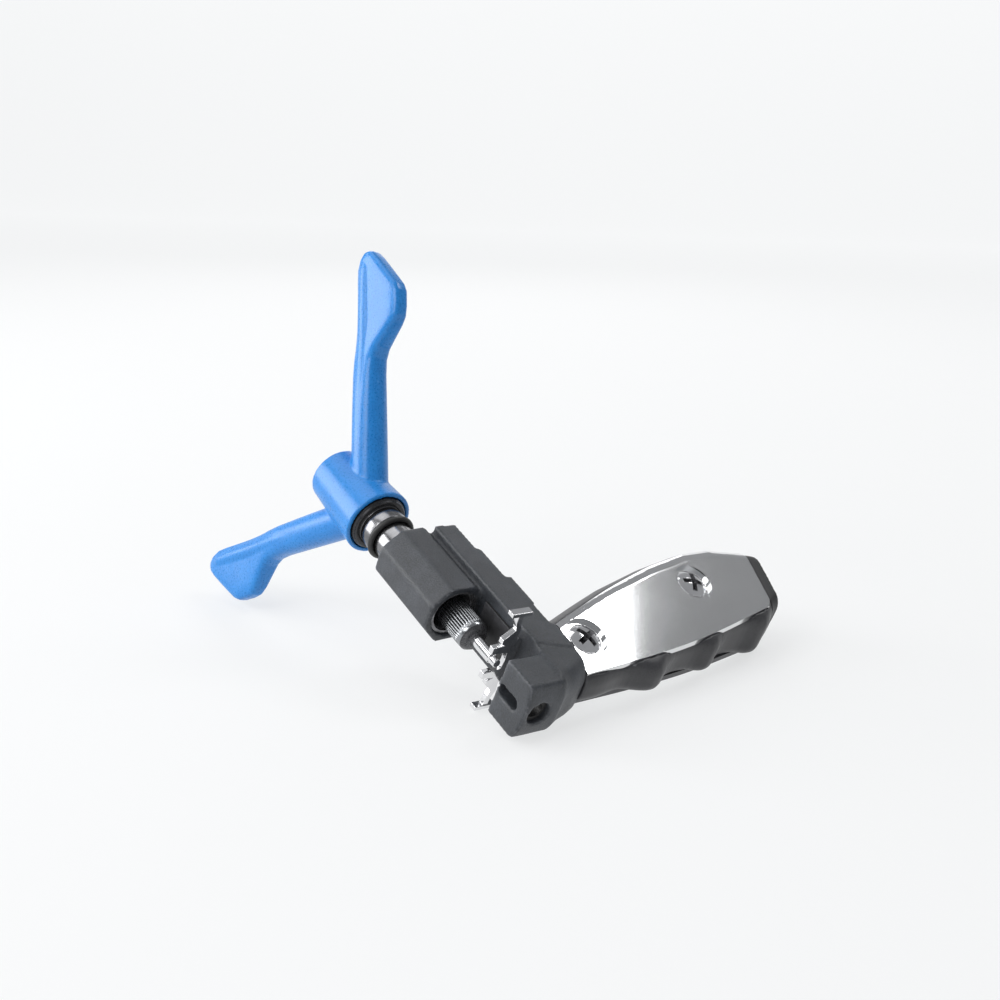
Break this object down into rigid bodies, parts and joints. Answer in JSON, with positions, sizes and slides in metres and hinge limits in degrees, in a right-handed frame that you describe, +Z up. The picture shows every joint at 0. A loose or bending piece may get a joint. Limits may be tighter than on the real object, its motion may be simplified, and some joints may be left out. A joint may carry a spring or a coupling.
{
  "type": "chain tool",
  "caption": "Hand screw press for bicycle chains, with a two-arm handle, chain cradle and finger-grooved grip between polished side plates.",
  "frame": {"origin": "middle of the base of the tool's box, on the table it lies on", "axes": "the tool lies on its lower side: +Z up, +Y towards the end of the grip, and the screw pushes towards +X and a little down"},
  "size_m": [0.204, 0.1688, 0.1531],
  "materials": {
    "casting": "black, fine grained",
    "steel": "turned and ground",
    "dark_steel": "blackened",
    "brass": "turned",
    "handle_paint": "satin blue powder coat",
    "chrome": "polished",
    "grip_plastic": "fine grained",
    "seal_rubber": "matt"
  },
  "bodies": {
    "tool": {"tool_body": "casting", "exit_bushing": "dark_steel", "barrel_bushing": "brass", "retaining_ring": "dark_steel", "chain_cradle": "chrome", "cradle_screws": "dark_steel", "grip_core": "grip_plastic", "upper_side_plate": "chrome", "lower_side_plate": "chrome", "upper_plate_screws": "chrome", "lower_plate_screws": "chrome", "upper_inserts": "brass", "lower_inserts": "brass", "grip_end_cap": "grip_plastic", "end_cap_screw": "dark_steel"},
    "pin": {"drive_pin": "steel"},
    "screw": {"drive_screw": "steel", "screw_seal": "seal_rubber", "screw_collar": "dark_steel", "pin_cap": "steel", "handle": "handle_paint", "handle_washer": "steel", "handle_bolt": "dark_steel"}
  },
  "joints": [
    {"name": "pin_advance", "type": "slide", "parent": "tool", "child": "pin", "axis": [0.9253, 0, -0.3793], "range_m": [-0.0141, 0.01033]},
    {"name": "screw_turn", "type": "hinge", "parent": "pin", "child": "screw", "pos_m": [0.02842, -0.05862, 0.03996], "axis": [0.9253, 0, -0.3793], "range_deg": [-3360, 2472]}
  ],
  "couplings": [
    {"joint": "pin_advance", "follows": "screw_turn", "m_per_rad": 0.00023873}
  ]
}
